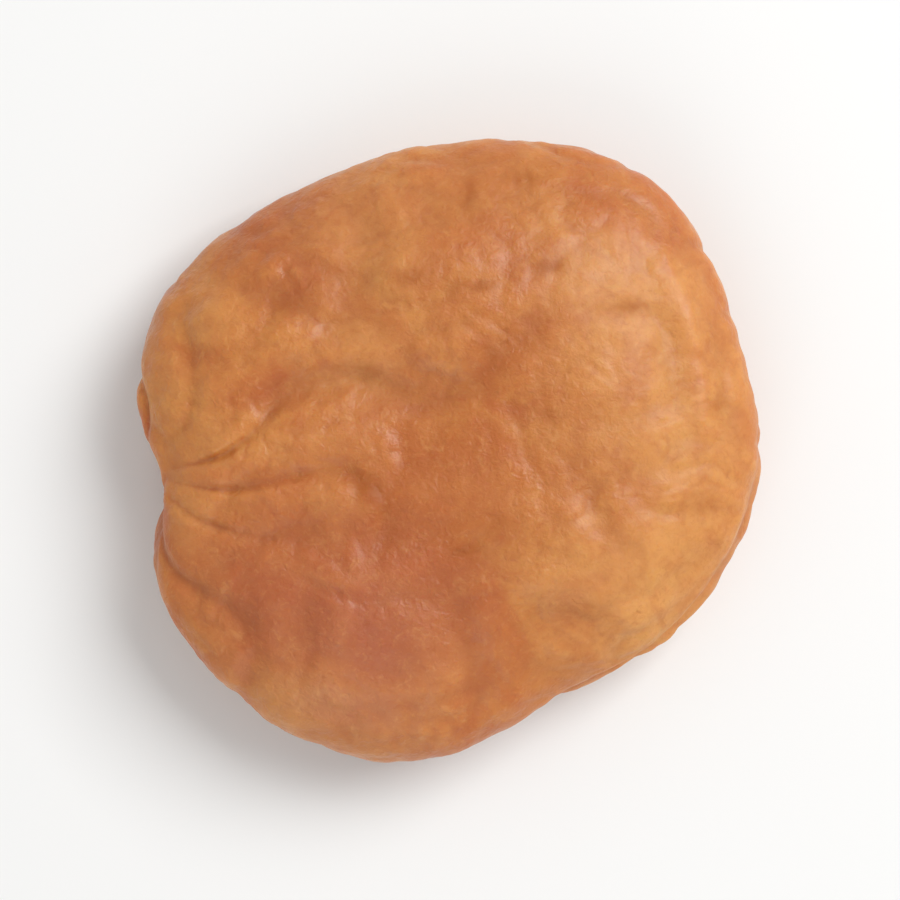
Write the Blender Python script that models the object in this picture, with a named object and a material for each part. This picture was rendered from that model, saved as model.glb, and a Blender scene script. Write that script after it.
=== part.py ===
"""One dried apricot: a whole fruit with its stone pushed out, lying on one broad face.

Units are metres and +Z is up. The origin is on the surface that the fruit lies on, under the middle of
its outline. +X points to the tip of the fruit, and the stem end, where the stone left by a slit, is
near -X. The fruit is one solid: a rounded outline is swept into a flattened pillow, which then sinks
in its middle, gathers into folds round the stem end and wrinkles all over.
"""

import itertools
import math
from collections import namedtuple

import bpy
import numpy as np

MM = 0.001

Lump = namedtuple("Lump", "turn rise spread")
Swell = namedtuple("Swell", "x y rise spread")
Crease = namedtuple("Crease", "start lean end half_width depth")
Wrinkle = namedtuple("Wrinkle", "spacing depth seed")
SmoothSpot = namedtuple("SmoothSpot", "x y share spread")

# Size of the fruit
MEAN_RADIUS = 21.2 * MM
TOP_RISE = 6.6 * MM  # from the level of the rim to the crown
BASE_RISE = 5.9 * MM  # from the level of the rim to the base, before the base is flattened
BASE_FLATTENED = 0.2 * MM  # how far the weight of the fruit presses the base flat
SIDE_POWER = 2.5  # 2 gives an ellipsoid, more gives a flatter top and a fuller rim
CROWN_POWER = 2.15

# Lumps of the outline: direction in degrees from +X, height outwards, half width in degrees
RIM_LUMPS = (
    Lump(-4, 0.7 * MM, 18),
    Lump(52, 2.4 * MM, 24),
    Lump(112, -0.7 * MM, 18),
    Lump(152, 0.6 * MM, 22),
    Lump(216, 0.7 * MM, 16),
    Lump(251, 0.8 * MM, 21),
    Lump(296, -2.1 * MM, 20),
)
RIM_TWIST = 0.7 * MM  # how far the rim rises and falls, twice round
RIM_TWIST_TURN = 35  # degrees from +X to the first rise
RIM_TWIST_POWER = 4  # how closely the twist keeps to the rim

# Swells and dents of each face: place, height outwards, half width
TOP_SWELLS = (
    Swell(-4.0 * MM, 0.5 * MM, -1.0 * MM, 9.0 * MM),
    Swell(12.5 * MM, 3.5 * MM, 0.4 * MM, 6.5 * MM),
    Swell(3.0 * MM, 13.5 * MM, 0.3 * MM, 5.0 * MM),
    Swell(-12.5 * MM, 8.5 * MM, 0.5 * MM, 5.0 * MM),
    Swell(-9.0 * MM, -12.5 * MM, 0.5 * MM, 5.5 * MM),
    Swell(7.0 * MM, -12.5 * MM, -0.4 * MM, 4.5 * MM),
)
BASE_SWELLS = (
    Swell(-12.0 * MM, -9.0 * MM, 0.5 * MM, 5.0 * MM),
    Swell(12.0 * MM, -8.0 * MM, -0.7 * MM, 5.0 * MM),
    Swell(6.0 * MM, 14.0 * MM, -0.6 * MM, 5.0 * MM),
    Swell(-11.0 * MM, 11.0 * MM, 0.3 * MM, 4.0 * MM),
)

# Stem end: a slit along the rim, with lips above and below it, in a shallow notch
STEM_TURN = 185  # degrees from +X
NOTCH_DEPTH = 1.4 * MM
NOTCH_SPREAD = 11  # degrees
SLIT_DEPTH = 2.0 * MM
SLIT_SPREAD = 14  # degrees
SLIT_HALF_GAP = 1.2 * MM
SLIT_LEVEL = 0.3 * MM  # how far the slit's line is above the middle of the rim
SLIT_BOW = 0.8 * MM  # how far the slit's line rises and falls along its length
LIP_RISE = 0.35 * MM
LIP_PLACE = 2.4  # distance from the slit's line to each lip, in half gaps
LIP_WIDTH = 1.2  # half width of a lip, in half gaps

# Gathers: folds that run out from the stem end over both faces
GATHER_COUNT = 11  # in a full turn about the stem end
GATHER_DEPTH = 0.9 * MM
GATHER_START = 1.0 * MM  # no gathers nearer to the stem end than this
GATHER_FULL = 6.5 * MM
GATHER_REACH = 8.5 * MM
GATHER_WANDER = 0.16  # how far the folds bend from side to side, in radians
GATHER_WANDER_LENGTH = 2.8 * MM
GATHER_CROWDING = 0.12  # how far the folds bunch up in places, in radians
GATHER_CROWDS = 3  # in a full turn
GATHER_UNEVENNESS = 0.35  # how much further some folds reach than others, as a share
GATHER_FAR_REACHES = 5  # in a full turn
TOP_GATHER_PHASE = 0.4
BASE_GATHER_PHASE = 1.9

# Seam: a fine groove along one half of the rim, from the stem end to the tip
SEAM_FROM = 190
SEAM_TO = 372
SEAM_FADE = 28  # degrees over which each end of the groove fades out
SEAM_DEPTH = 0.5 * MM
SEAM_HALF_WIDTH = 0.75 * MM
SEAM_WANDER = 0.9 * MM
SEAM_WAVES = 2.3  # in a full turn
SEAM_LEVEL = 0.3 * MM

# Creases of each face: the start, a point that the bend leans to, the end, half width, depth, in mm
TOP_CREASES = (
    Crease((-15, 2), (-8, 5.5), (0, 4), 1.3, 0.40),
    Crease((-14, -4), (-7, -7), (1, -5), 1.2, 0.30),
    Crease((0, 4), (5, 6), (8, 11), 1.1, 0.20),
    Crease((9, -1), (10.2, -4), (13.2, -8), 0.9, 0.20),
    Crease((17.8, -1), (18.2, 6), (14.8, 13.5), 0.9, -0.32),
    Crease((-6, 19), (-4, 13), (-7, 9), 1.3, 0.28),
    Crease((-16, 12), (-11, 9), (-8, 12), 1.1, 0.24),
    Crease((-12, -16), (-8, -12), (-9, -8), 1.2, 0.32),
    Crease((2, -19), (3, -13), (0, -9), 1.2, 0.32),
    Crease((13, -14), (9, -10), (4, -11), 1.1, 0.24),
)
BASE_CREASES = (
    Crease((-16, 3), (-11, 8), (-12, 14), 1.1, 0.45),
    Crease((-15, -4), (-10, -8), (-4, -12), 1.1, 0.45),
    Crease((4, 19), (6, 13), (12, 10), 1.1, 0.45),
    Crease((17, 8), (13, 3), (14, -4), 1.0, 0.40),
    Crease((14, -14), (9, -12), (2, -13), 1.1, 0.45),
    Crease((-4, -20), (-6, -15), (-3, -12), 1.0, 0.40),
)
CREASE_STEPS = 14
CREASE_BANK = 0.4  # height of the banks beside a crease, as a share of its depth
BANK_PLACE = 2.1  # distance from a crease to the top of its banks, in half widths
CREASE_END = 0.08  # how far from nothing the depth is at each end, as a share of half a wave

# Wrinkles all over: distance between the folds, depth, seed
SKIN_SWELL = Wrinkle(9.0 * MM, 0.50 * MM, 11)
SKIN_FOLDS = Wrinkle(4.0 * MM, 0.24 * MM, 23)
SKIN_CREPE = Wrinkle(2.1 * MM, 0.10 * MM, 37)
FOLD_STRETCH = 1.7  # folds are this many times as long as they are apart
FOLD_FULLNESS = 3.0  # more gives flatter ridges between narrower valleys
VALLEY_ROUNDING = 0.14  # more gives a rounder valley floor
BEND = 1.9 * MM  # how far the pattern of folds is bent
BEND_SPACING = 6.5 * MM
BEND_SEEDS = (3, 5, 7)
RIM_SMOOTHING = 0.35  # share of the wrinkles that is lost where the rim stretches the skin
RIM_SMOOTHING_SPAN = 0.35  # half width of that, as a share of the way up
PLEATS = Wrinkle(4.2 * MM, 0.46 * MM, 71)  # folds that run over the rim from one face to the other
PLEAT_STRETCH = 3.0  # pleats are this many times as long as they are apart
PLEAT_CLIMB = 9.0 * MM  # length of skin from the rim to the middle of a face, as the pleats count it
PLEAT_LEVEL = -0.4  # where the pleats are deepest, as a share of the way up: just under the rim
PLEAT_SPAN = 0.42  # half width of that
PLEAT_STEM_SPREAD = 26  # degrees either side of the stem end where gathers take the place of pleats
REST_RADIUS = 6.5 * MM  # no wrinkles inside this radius on the base, where the weight presses
REST_FADE = 5.0 * MM
FACE_BLEND = 0.25  # share of the way up at which a place counts as fully on one face

# Spots of the top where the skin is plumper: place, share of the wrinkles that is lost, half width
TOP_SMOOTH_SPOTS = (
    SmoothSpot(9.0 * MM, 11.0 * MM, 0.50, 7.5 * MM),
    SmoothSpot(14.0 * MM, 2.0 * MM, 0.40, 6.0 * MM),
    SmoothSpot(3.0 * MM, -2.0 * MM, 0.25, 6.0 * MM),
    SmoothSpot(-3.0 * MM, -12.0 * MM, 0.30, 6.0 * MM),
)

# Facets: how many across each broad face, and how many round the thickness
FACETS_ACROSS = 40
FACETS_UP = 17
GRID_CROWDING = 1.15  # more than 1 crowds the grid towards the middle, where the form spreads it

SKIN_COLOR = (0.58, 0.20, 0.05, 1)
SKIN_ROUGHNESS = 0.5

LATTICE = 256  # how many random slopes the noise draws on
NOISE_GAIN = 1.7  # brings the noise to about -1 to 1
SMALL_TURN = 1e-3  # used to measure the slope of the form


def eased(value, low, high):
    """Rises smoothly from 0 at low to 1 at high."""
    share = np.clip((value - low) / (high - low), 0, 1)
    return share * share * (3 - 2 * share)


def hump(away, spread):
    """A bell curve of height 1 and half width spread."""
    return np.exp(-((away / spread) ** 2))


def turn_from(turn, degrees):
    """The signed angle from a direction in degrees to each turn, the short way round."""
    return (turn - math.radians(degrees) + math.pi) % (2 * math.pi) - math.pi


def noise(points, spacing, seed):
    """Smooth random swell, about -1 to 1, with lumps about one spacing across.

    Each corner of a cubic lattice has a random slope. A point takes the eased mean of the heights that
    the slopes of its eight nearest corners give it.
    """
    random = np.random.default_rng(seed)
    order = random.permutation(LATTICE)
    slopes = random.normal(size=(LATTICE, 3))
    slopes /= np.linalg.norm(slopes, axis=1, keepdims=True)
    place = points / spacing
    cell = np.floor(place).astype(int)
    inside = place - cell
    ease = inside**3 * (inside * (inside * 6 - 15) + 10)
    total = np.zeros(len(points))
    for corner in itertools.product((0, 1), repeat=3):
        key = np.zeros(len(points), int)
        for axis in range(3):
            key = order[(key + cell[:, axis] + corner[axis]) % LATTICE]
        share = np.prod(np.where(corner, ease, 1 - ease), axis=1)
        total += share * np.einsum("ij,ij->i", slopes[key], inside - corner)
    return total * NOISE_GAIN


def outline_radius(turn):
    """Distance from the middle to the rim for each turn about Z: a circle with lumps and a notch."""
    radius = np.full_like(turn, MEAN_RADIUS)
    for lump in RIM_LUMPS:
        radius += lump.rise * hump(turn_from(turn, lump.turn), math.radians(lump.spread))
    notch = hump(turn_from(turn, STEM_TURN), math.radians(NOTCH_SPREAD))
    return radius - NOTCH_DEPTH * notch


def swollen(flat, rise, swells):
    """The rise of a face over each flat place, with that face's swells and dents."""
    height = np.full(len(flat), rise)
    for swell in swells:
        away = np.hypot(flat[:, 0] - swell.x, flat[:, 1] - swell.y)
        height += swell.rise * hump(away, swell.spread)
    return height


def plump_form(ways):
    """The fruit with no wrinkles, for unit directions from its middle.

    Each direction's share along the level gives how far out the point is, and its share upwards gives how
    high it is, both raised to a power that makes the pillow fuller than an ellipsoid.
    """
    turn = np.arctan2(ways[:, 1], ways[:, 0])
    level = np.hypot(ways[:, 0], ways[:, 1])
    out = outline_radius(turn) * level ** (2 / SIDE_POWER)
    flat = np.stack((out * np.cos(turn), out * np.sin(turn)), axis=1)
    rise = np.where(
        ways[:, 2] > 0,
        swollen(flat, TOP_RISE, TOP_SWELLS),
        swollen(flat, BASE_RISE, BASE_SWELLS),
    )
    height = rise * np.sign(ways[:, 2]) * np.abs(ways[:, 2]) ** (2 / CROWN_POWER)
    twist = RIM_TWIST * np.cos(2 * turn_from(turn, RIM_TWIST_TURN)) * level**RIM_TWIST_POWER
    return np.column_stack((flat, height + twist))


def outward(ways):
    """The unit normal of the plump form at each direction, from two small turns of it."""
    aside = np.cross(ways, np.where(np.abs(ways[:, 2:]) < 0.9, (0, 0, 1), (1, 0, 0)))
    aside /= np.linalg.norm(aside, axis=1, keepdims=True)
    along = np.cross(ways, aside)
    here = plump_form(ways)
    slopes = []
    for tangent in (aside, along):
        near = ways + SMALL_TURN * tangent
        near /= np.linalg.norm(near, axis=1, keepdims=True)
        slopes.append(plump_form(near) - here)
    normals = np.cross(*slopes)
    return normals / np.linalg.norm(normals, axis=1, keepdims=True)


def crease_depth(flat, crease):
    """Depth of one crease at each flat place: a valley with rounded banks along a bent line.

    The line is a quadratic curve cut into short runs. Each place takes its distance from the nearest run,
    and the depth follows half a sine wave along the line.
    """
    steps = np.linspace(0, 1, CREASE_STEPS + 1)[:, None]
    route = (1 - steps) ** 2 * np.array(crease.start) + steps**2 * np.array(crease.end)
    route = (route + 2 * steps * (1 - steps) * np.array(crease.lean)) * MM
    nearest = np.full(len(flat), np.inf)
    share = np.zeros(len(flat))
    for index, (near, far) in enumerate(itertools.pairwise(route)):
        run = far - near
        along = np.clip(((flat - near) @ run) / (run @ run), 0, 1)
        away = np.linalg.norm(flat - near - along[:, None] * run, axis=1)
        closer = away < nearest
        share = np.where(closer, (index + along) / CREASE_STEPS, share)
        nearest = np.where(closer, away, nearest)
    width = crease.half_width * MM
    valley = hump(nearest, width) - CREASE_BANK * hump(nearest - BANK_PLACE * width, width)
    taper = np.sin(math.pi * (CREASE_END + (1 - 2 * CREASE_END) * share))
    return crease.depth * MM * valley * taper


def gathers(flat, phase):
    """Height of the folds that run out from the stem end, for one face.

    The folds are the bumps of a sine wave round the stem end, which bunch up in places. They bend a
    little from side to side on their way out, rise over a short distance and then fade.
    """
    stem_turn = math.radians(STEM_TURN)
    stem = outline_radius(np.array([stem_turn]))[0] * np.array([math.cos(stem_turn), math.sin(stem_turn)])
    from_stem = flat - stem
    away = np.hypot(from_stem[:, 0], from_stem[:, 1])
    bearing = np.arctan2(from_stem[:, 1], from_stem[:, 0])
    bent = bearing + GATHER_WANDER * np.sin(away / GATHER_WANDER_LENGTH + phase)
    bent += GATHER_CROWDING * np.sin(GATHER_CROWDS * bearing + phase)
    folds = rounded_folds(np.sin(GATHER_COUNT / 2 * bent + phase))
    reach = GATHER_REACH * (1 + GATHER_UNEVENNESS * np.sin(GATHER_FAR_REACHES * bearing + phase))
    strength = eased(away, GATHER_START, GATHER_FULL) * np.exp(-away / reach)
    return GATHER_DEPTH * folds * strength


def stem_slit(turn, height):
    """How far the rim stands out at the slit where the stone left: a deep line between two lips."""
    aside = turn_from(turn, STEM_TURN) / math.radians(SLIT_SPREAD)
    away = height - SLIT_LEVEL - SLIT_BOW * np.sin(aside * math.pi / 2)
    lips = hump(np.abs(away) - LIP_PLACE * SLIT_HALF_GAP, LIP_WIDTH * SLIT_HALF_GAP)
    return hump(aside, 1) * (LIP_RISE * lips - SLIT_DEPTH * hump(away, SLIT_HALF_GAP))


def seam(turn, height):
    """Height of the skin along the seam, a shallow groove that wanders along half of the rim."""
    degrees = (np.degrees(turn) - SEAM_FROM) % 360 + SEAM_FROM
    begun = eased(degrees, SEAM_FROM, SEAM_FROM + SEAM_FADE)
    ended = eased(degrees, SEAM_TO - SEAM_FADE, SEAM_TO)
    line = SEAM_LEVEL + SEAM_WANDER * np.sin(np.radians(degrees * SEAM_WAVES))
    return -SEAM_DEPTH * begun * (1 - ended) * hump(height - line, SEAM_HALF_WIDTH)


def rounded_folds(swell):
    """Turns a smooth swell into rounded folds, from about -0.5 to 0.5, with valleys where it is 0."""
    ridge = np.hypot(swell, VALLEY_ROUNDING) - VALLEY_ROUNDING
    return np.tanh(FOLD_FULLNESS * ridge) - 0.5


def pattern_bend(points):
    """How far the pattern of folds is moved at each point, so that no fold runs straight."""
    return np.stack([noise(points, BEND_SPACING, seed) for seed in BEND_SEEDS], axis=1) * BEND


def skin_folds(points):
    """Height of the wrinkles that cover the whole fruit."""
    bend = pattern_bend(points)
    bent = (points + bend) * (1 / FOLD_STRETCH, 1, 1)
    height = SKIN_SWELL.depth * noise(points, SKIN_SWELL.spacing, SKIN_SWELL.seed)
    height += SKIN_FOLDS.depth * rounded_folds(noise(bent, SKIN_FOLDS.spacing, SKIN_FOLDS.seed))
    crepe = rounded_folds(noise(points + bend, SKIN_CREPE.spacing, SKIN_CREPE.seed))
    return height + SKIN_CREPE.depth * crepe


def rim_pleats(ways, points):
    """Height of the pleats that run over the rim from one face to the other.

    They are folds on an upright drum as wide as the fruit. How far a point is up the skin, drawn together,
    is its height on the drum, so that the folds are long in that direction.
    """
    turn = np.arctan2(ways[:, 1], ways[:, 0])
    climb = np.arcsin(ways[:, 2]) / (math.pi / 2) * PLEAT_CLIMB / PLEAT_STRETCH
    drum = np.column_stack((MEAN_RADIUS * np.cos(turn), MEAN_RADIUS * np.sin(turn), climb))
    folds = rounded_folds(noise(drum + pattern_bend(points), PLEATS.spacing, PLEATS.seed))
    strength = hump(ways[:, 2] - PLEAT_LEVEL, PLEAT_SPAN)
    strength *= 1 - hump(turn_from(turn, STEM_TURN), math.radians(PLEAT_STEM_SPREAD))
    return PLEATS.depth * folds * strength


def smoothness(ways, flat, top):
    """The share of the wrinkles that is lost: on the rim, and at a few spots of the top."""
    lost = RIM_SMOOTHING * hump(ways[:, 2], RIM_SMOOTHING_SPAN)
    for spot in TOP_SMOOTH_SPOTS:
        away = np.hypot(flat[:, 0] - spot.x, flat[:, 1] - spot.y)
        lost += top * spot.share * hump(away, spot.spread)
    return lost


def wrinkled_form(ways):
    """The finished skin for unit directions from the middle, resting flat on its base."""
    points = plump_form(ways)
    normals = outward(ways)
    flat = points[:, :2]
    turn = np.arctan2(ways[:, 1], ways[:, 0])
    top = eased(ways[:, 2], -FACE_BLEND, FACE_BLEND)
    base = 1 - top
    height = skin_folds(points) * (1 - smoothness(ways, flat, top))
    height += rim_pleats(ways, points) + seam(turn, points[:, 2])
    height += top * gathers(flat, TOP_GATHER_PHASE) + base * gathers(flat, BASE_GATHER_PHASE)
    for crease in TOP_CREASES:
        height -= top * crease_depth(flat, crease)
    for crease in BASE_CREASES:
        height -= base * crease_depth(flat, crease)
    away = np.hypot(flat[:, 0], flat[:, 1])
    pressed = base * (1 - eased(away, REST_RADIUS, REST_RADIUS + REST_FADE))
    points = points + normals * (height * (1 - pressed))[:, None]
    stand_out = stem_slit(turn, points[:, 2])
    points[:, 0] += stand_out * np.cos(turn)
    points[:, 1] += stand_out * np.sin(turn)
    points[:, 2] = np.maximum(points[:, 2] + BASE_RISE - BASE_FLATTENED, 0)
    return points


def box_directions(across, up):
    """Unit directions and quads of a closed grid on a box, across by across on top and under, up round it.

    Each face of the box is a grid of angles, a little closer together near its middle lines. Corners that
    two faces share are made one.
    """
    corners = []
    for axis, sign in itertools.product(range(3), (-1, 1)):
        first, second = (axis + 1) % 3, (axis + 2) % 3
        counts = [up if side == 2 else across for side in (first, second)]
        steps = (np.linspace(-1, 1, count + 1) for count in counts)
        grid = np.meshgrid(*(np.sign(step) * np.abs(step) ** GRID_CROWDING for step in steps), indexing="ij")
        face = np.empty((counts[0] + 1, counts[1] + 1, 3))
        face[..., axis] = sign
        face[..., first], face[..., second] = np.tan(np.array(grid) * math.pi / 4)
        quads = np.stack((face[:-1, :-1], face[1:, :-1], face[1:, 1:], face[:-1, 1:]), axis=2)
        quads = quads.reshape(-1, 4, 3)
        corners.append(quads if sign > 0 else quads[:, ::-1])
    corners = np.concatenate(corners).reshape(-1, 3)
    places, index = np.unique(np.round(corners, 6), axis=0, return_inverse=True)
    ways = places / np.linalg.norm(places, axis=1, keepdims=True)
    return ways, index.reshape(-1, 4)


def centred(points):
    """The points moved sideways so that the middle of their outline is over the origin."""
    middle = (points.min(axis=0) + points.max(axis=0)) / 2
    return points - (middle[0], middle[1], 0)


def make_skin_material():
    """The orange skin of the fruit, with a soft satin sheen."""
    material = bpy.data.materials.new("apricot_skin")
    material.use_nodes = True
    shader = material.node_tree.nodes["Principled BSDF"]
    shader.inputs["Base Color"].default_value = SKIN_COLOR
    shader.inputs["Roughness"].default_value = SKIN_ROUGHNESS
    shader.inputs["Metallic"].default_value = 0
    return material


def make_fruit():
    """Builds the fruit as one closed mesh object."""
    ways, quads = box_directions(FACETS_ACROSS, FACETS_UP)
    points = centred(wrinkled_form(ways))
    mesh = bpy.data.meshes.new("dried_apricot")
    mesh.from_pydata(points.tolist(), [], quads.tolist())
    mesh.materials.append(make_skin_material())
    mesh.shade_smooth()
    fruit = bpy.data.objects.new("dried_apricot", mesh)
    bpy.context.scene.collection.objects.link(fruit)


def main():
    for obj in list(bpy.data.objects):
        bpy.data.objects.remove(obj)
    make_fruit()


main()
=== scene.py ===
"""The looks of one dried apricot, laid out as a Blender add-on and run as a script.

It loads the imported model, grows the fruit's fine skin in the place of the plain solid, gives it its
finish, and sets up a pale floor, soft light and a camera that looks straight down.
"""

import itertools
import math
from collections import namedtuple

import bpy
import numpy as np
from bpy.props import FloatProperty, FloatVectorProperty, IntProperty, PointerProperty
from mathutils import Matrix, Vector


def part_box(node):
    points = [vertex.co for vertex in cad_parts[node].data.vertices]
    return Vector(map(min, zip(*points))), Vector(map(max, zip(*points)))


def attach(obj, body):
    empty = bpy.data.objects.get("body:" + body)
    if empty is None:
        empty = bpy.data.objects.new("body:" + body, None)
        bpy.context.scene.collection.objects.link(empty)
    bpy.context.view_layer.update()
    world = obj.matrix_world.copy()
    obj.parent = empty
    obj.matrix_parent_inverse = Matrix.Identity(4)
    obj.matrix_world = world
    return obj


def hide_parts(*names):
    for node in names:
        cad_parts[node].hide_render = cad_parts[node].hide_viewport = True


bl_info = {
    "name": "Dried Apricot",
    "version": (1, 0, 0),
    "blender": (4, 5, 0),
    "location": "3D Viewport > Sidebar > Apricot",
    "description": "Grows a whole dried apricot with its stone pushed out, and a plain stage for it",
    "category": "Add Mesh",
}

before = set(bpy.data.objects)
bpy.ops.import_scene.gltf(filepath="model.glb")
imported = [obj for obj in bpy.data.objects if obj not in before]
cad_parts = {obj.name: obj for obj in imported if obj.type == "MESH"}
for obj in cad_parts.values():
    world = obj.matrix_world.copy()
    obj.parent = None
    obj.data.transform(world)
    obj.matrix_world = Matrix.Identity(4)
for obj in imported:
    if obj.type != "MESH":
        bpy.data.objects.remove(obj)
SOLID = "dried_apricot"
LOW, HIGH = (np.array(corner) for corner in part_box(SOLID))

MM = 0.001

Lump = namedtuple("Lump", "turn rise spread")
Swell = namedtuple("Swell", "x y rise spread")
Crease = namedtuple("Crease", "start lean end half_width depth")
Wrinkle = namedtuple("Wrinkle", "spacing depth seed")
SmoothSpot = namedtuple("SmoothSpot", "x y share spread")
Patch = namedtuple("Patch", "x y strength spread")
Fleck = namedtuple("Fleck", "x y turn length width strength")
Pattern = namedtuple("Pattern", "per_mm detail roughness distortion", defaults=(2.0, 0.5, 0.0))
Band = namedtuple("Band", "start end at_start at_end", defaults=(0.0, 1.0))

# Plump form
BASE_FLATTENED = 0.2 * MM  # how far the weight of the fruit presses the base flat
SIDE_POWER = 2.5  # 2 gives an ellipsoid, more gives a flatter top and a fuller rim
CROWN_POWER = 2.15

# Lumps of the outline: direction in degrees from +X, height outwards, half width in degrees
RIM_LUMPS = (
    Lump(-4, 0.7 * MM, 18),
    Lump(52, 2.4 * MM, 24),
    Lump(112, -0.7 * MM, 18),
    Lump(152, 0.6 * MM, 22),
    Lump(216, 0.7 * MM, 16),
    Lump(251, 0.8 * MM, 21),
    Lump(296, -2.1 * MM, 20),
)
RIM_TWIST = 0.7 * MM  # how far the rim rises and falls, twice round
RIM_TWIST_TURN = 35  # degrees from +X to the first rise
RIM_TWIST_POWER = 4  # how closely the twist keeps to the rim

# Swells and dents of each face: place, height outwards, half width
TOP_SWELLS = (
    Swell(-4.0 * MM, 0.5 * MM, -1.0 * MM, 9.0 * MM),
    Swell(12.5 * MM, 3.5 * MM, 0.4 * MM, 6.5 * MM),
    Swell(3.0 * MM, 13.5 * MM, 0.3 * MM, 5.0 * MM),
    Swell(-12.5 * MM, 8.5 * MM, 0.5 * MM, 5.0 * MM),
    Swell(-9.0 * MM, -12.5 * MM, 0.5 * MM, 5.5 * MM),
    Swell(7.0 * MM, -12.5 * MM, -0.4 * MM, 4.5 * MM),
)
BASE_SWELLS = (
    Swell(-12.0 * MM, -9.0 * MM, 0.5 * MM, 5.0 * MM),
    Swell(12.0 * MM, -8.0 * MM, -0.7 * MM, 5.0 * MM),
    Swell(6.0 * MM, 14.0 * MM, -0.6 * MM, 5.0 * MM),
    Swell(-11.0 * MM, 11.0 * MM, 0.3 * MM, 4.0 * MM),
)

# Stem end: a slit along the rim, with lips above and below it, in a shallow notch
STEM_TURN = 185  # degrees from +X
NOTCH_DEPTH = 1.4 * MM
NOTCH_SPREAD = 11  # degrees
SLIT_DEPTH = 2.0 * MM
SLIT_SPREAD = 14  # degrees
SLIT_HALF_GAP = 1.2 * MM
SLIT_LEVEL = 0.3 * MM  # how far the slit's line is above the middle of the rim
SLIT_BOW = 0.8 * MM  # how far the slit's line rises and falls along its length
LIP_RISE = 0.35 * MM
LIP_PLACE = 2.4  # distance from the slit's line to each lip, in half gaps
LIP_WIDTH = 1.2  # half width of a lip, in half gaps

# Gathers: folds that run out from the stem end over both faces
GATHER_COUNT = 11  # in a full turn about the stem end
GATHER_DEPTH = 0.9 * MM
GATHER_START = 1.0 * MM  # no gathers nearer to the stem end than this
GATHER_FULL = 6.5 * MM  # the gathers have risen fully by this distance
GATHER_REACH = 8.5 * MM  # the gathers fade to about a third over this distance
GATHER_WANDER = 0.16  # how far the folds bend from side to side, in radians
GATHER_WANDER_LENGTH = 2.8 * MM
GATHER_CROWDING = 0.12  # how far the folds bunch up in places, in radians
GATHER_CROWDS = 3  # in a full turn
GATHER_UNEVENNESS = 0.35  # how much further some folds reach than others, as a share
GATHER_FAR_REACHES = 5  # in a full turn
TOP_GATHER_PHASE = 0.4
BASE_GATHER_PHASE = 1.9

# Seam: a fine groove along one half of the rim, from the stem end to the tip
SEAM_FROM = 190  # degrees from +X
SEAM_TO = 372  # degrees from +X, past a full turn
SEAM_FADE = 28  # degrees over which each end of the groove fades out
SEAM_DEPTH = 0.5 * MM
SEAM_HALF_WIDTH = 0.75 * MM
SEAM_WANDER = 0.9 * MM
SEAM_WAVES = 2.3  # in a full turn
SEAM_LEVEL = 0.3 * MM

# Creases, in mm: start, a point that the bend leans to, end, half width, depth (below 0 for a ridge)
TOP_CREASES = (
    Crease((-15, 2), (-8, 5.5), (0, 4), 1.3, 0.40),
    Crease((-14, -4), (-7, -7), (1, -5), 1.2, 0.30),
    Crease((0, 4), (5, 6), (8, 11), 1.1, 0.20),
    Crease((9, -1), (10.2, -4), (13.2, -8), 0.9, 0.20),
    Crease((17.8, -1), (18.2, 6), (14.8, 13.5), 0.9, -0.32),
    Crease((-6, 19), (-4, 13), (-7, 9), 1.3, 0.28),
    Crease((-16, 12), (-11, 9), (-8, 12), 1.1, 0.24),
    Crease((-12, -16), (-8, -12), (-9, -8), 1.2, 0.32),
    Crease((2, -19), (3, -13), (0, -9), 1.2, 0.32),
    Crease((13, -14), (9, -10), (4, -11), 1.1, 0.24),
)
BASE_CREASES = (
    Crease((-16, 3), (-11, 8), (-12, 14), 1.1, 0.45),
    Crease((-15, -4), (-10, -8), (-4, -12), 1.1, 0.45),
    Crease((4, 19), (6, 13), (12, 10), 1.1, 0.45),
    Crease((17, 8), (13, 3), (14, -4), 1.0, 0.40),
    Crease((14, -14), (9, -12), (2, -13), 1.1, 0.45),
    Crease((-4, -20), (-6, -15), (-3, -12), 1.0, 0.40),
)
CREASE_STEPS = 14
CREASE_BANK = 0.4  # height of the banks beside a crease, as a share of its depth
BANK_PLACE = 2.1  # distance from a crease to the top of its banks, in half widths
CREASE_END = 0.08  # how far from nothing the depth is at each end, as a share of half a wave

# Wrinkles all over: distance between the folds, depth, seed
SKIN_SWELL = Wrinkle(9.0 * MM, 0.50 * MM, 11)
SKIN_FOLDS = Wrinkle(4.0 * MM, 0.24 * MM, 23)
SKIN_CREPE = Wrinkle(2.1 * MM, 0.10 * MM, 37)
FINE_CREPE = Wrinkle(1.05 * MM, 0.045 * MM, 53)  # finer than the plain solid holds
FOLD_STRETCH = 1.7  # folds are this many times as long as they are apart
FOLD_FULLNESS = 3.0  # more gives flatter ridges between narrower valleys
VALLEY_ROUNDING = 0.14  # more gives a rounder valley floor
BEND = 1.9 * MM  # how far the pattern of folds is bent
BEND_SPACING = 6.5 * MM
BEND_SEEDS = (3, 5, 7)
RIM_SMOOTHING = 0.35  # share of the wrinkles that is lost where the rim stretches the skin
RIM_SMOOTHING_SPAN = 0.35  # half width of that, as a share of the way up
PLEATS = Wrinkle(4.2 * MM, 0.46 * MM, 71)  # folds that run over the rim from one face to the other
PLEAT_STRETCH = 3.0  # pleats are this many times as long as they are apart
PLEAT_CLIMB = 9.0 * MM  # length of skin from the rim to the middle of a face, as the pleats count it
PLEAT_LEVEL = -0.4  # where the pleats are deepest, as a share of the way up: just under the rim
PLEAT_SPAN = 0.42  # half width of that
PLEAT_STEM_SPREAD = 26  # degrees either side of the stem end where gathers take the place of pleats
REST_RADIUS = 6.5 * MM  # no wrinkles inside this radius on the base, where the weight presses
REST_FADE = 5.0 * MM
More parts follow.
